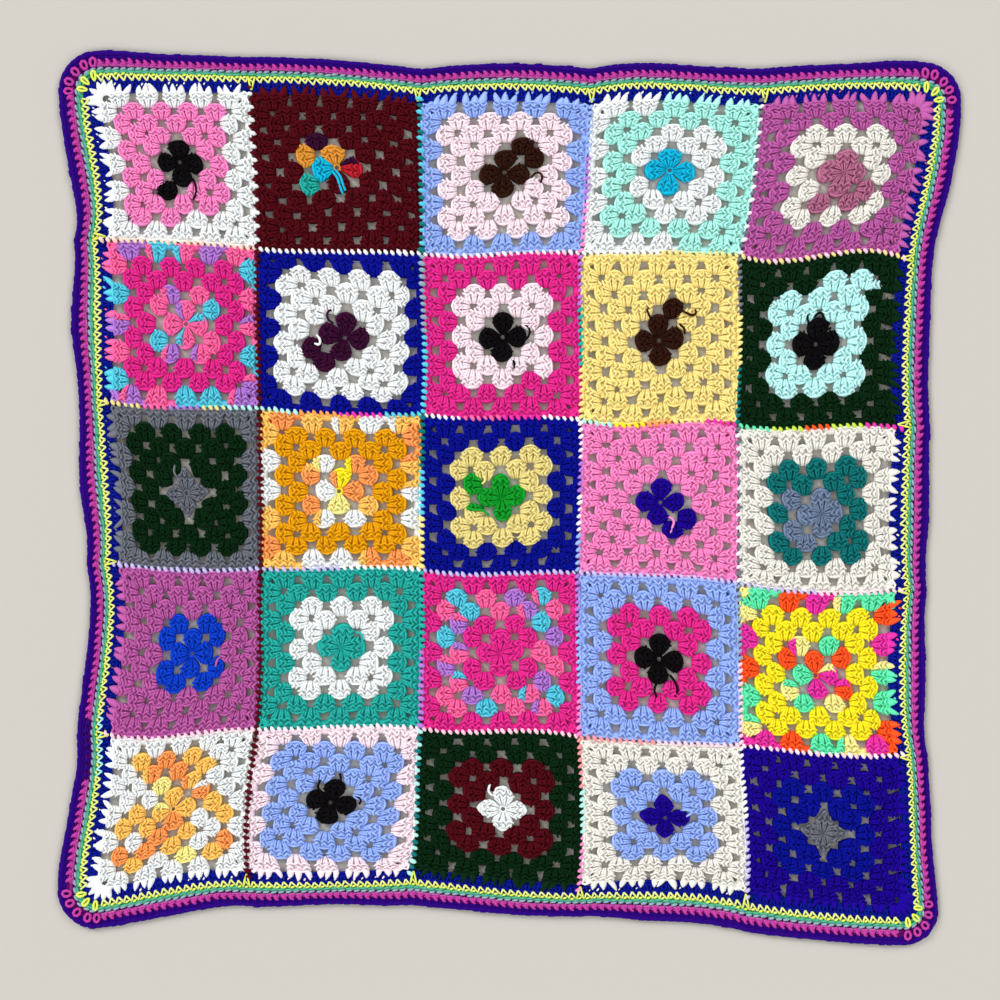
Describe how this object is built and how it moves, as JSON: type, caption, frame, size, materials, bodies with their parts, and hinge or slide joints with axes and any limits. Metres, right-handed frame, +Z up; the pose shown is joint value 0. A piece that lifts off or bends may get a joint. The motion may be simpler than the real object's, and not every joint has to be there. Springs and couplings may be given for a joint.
{
  "type": "granny square blanket",
  "caption": "Lap blanket of crocheted granny squares in mixed solid and multicoloured yarns, whip stitched together inside a striped crocheted border, laid flat.",
  "frame": {"origin": "middle of the blanket's underside, on the surface it lies on", "axes": "+X along a row of squares, to the right as laid; +Y from the bottom row to the top row; +Z up, through the blanket's thickness"},
  "size_m": [0.8476, 0.8396, 0.0043],
  "materials": {
    "yarn_white": "crocheted worsted acrylic yarn, matt",
    "yarn_burgundy": "crocheted worsted acrylic yarn, matt",
    "yarn_periwinkle": "crocheted worsted acrylic yarn, matt",
    "yarn_mint": "crocheted worsted acrylic yarn, matt",
    "yarn_orchid": "crocheted worsted acrylic yarn, matt",
    "yarn_hot_pink": "crocheted worsted acrylic yarn, matt",
    "yarn_royal_blue": "crocheted worsted acrylic yarn, matt",
    "yarn_butter": "crocheted worsted acrylic yarn, matt",
    "yarn_dark_green": "crocheted worsted acrylic yarn, matt",
    "yarn_grey": "crocheted worsted acrylic yarn, matt",
    "yarn_mustard": "crocheted worsted acrylic yarn, matt",
    "yarn_pink": "crocheted worsted acrylic yarn, matt",
    "yarn_off_white": "crocheted worsted acrylic yarn, matt",
    "yarn_sea_green": "crocheted worsted acrylic yarn, matt",
    "yarn_yellow": "crocheted worsted acrylic yarn, matt",
    "yarn_pale_pink": "crocheted worsted acrylic yarn, matt",
    "yarn_violet": "crocheted worsted acrylic yarn, matt",
    "yarn_border_blue": "crocheted worsted acrylic yarn, matt",
    "yarn_border_yellow": "crocheted worsted acrylic yarn, matt",
    "yarn_border_green": "crocheted worsted acrylic yarn, matt",
    "yarn_border_magenta": "crocheted worsted acrylic yarn, matt",
    "yarn_border_violet": "crocheted worsted acrylic yarn, matt"
  },
  "bodies": {
    "root": {"square_r1_c1": "yarn_white", "square_r1_c2": "yarn_burgundy", "square_r1_c3": "yarn_periwinkle", "square_r1_c4": "yarn_mint", "square_r1_c5": "yarn_orchid", "square_r2_c1": "yarn_hot_pink", "square_r2_c2": "yarn_royal_blue", "square_r2_c3": "yarn_hot_pink", "square_r2_c4": "yarn_butter", "square_r2_c5": "yarn_dark_green", "square_r3_c1": "yarn_grey", "square_r3_c2": "yarn_mustard", "square_r3_c3": "yarn_royal_blue", "square_r3_c4": "yarn_pink", "square_r3_c5": "yarn_off_white", "square_r4_c1": "yarn_orchid", "square_r4_c2": "yarn_sea_green", "square_r4_c3": "yarn_hot_pink", "square_r4_c4": "yarn_periwinkle", "square_r4_c5": "yarn_yellow", "square_r5_c1": "yarn_white", "square_r5_c2": "yarn_pale_pink", "square_r5_c3": "yarn_dark_green", "square_r5_c4": "yarn_off_white", "square_r5_c5": "yarn_violet", "border_blue": "yarn_border_blue", "border_yellow": "yarn_border_yellow", "border_green": "yarn_border_green", "border_magenta": "yarn_border_magenta", "border_violet": "yarn_border_violet"}
  },
  "joints": []
}
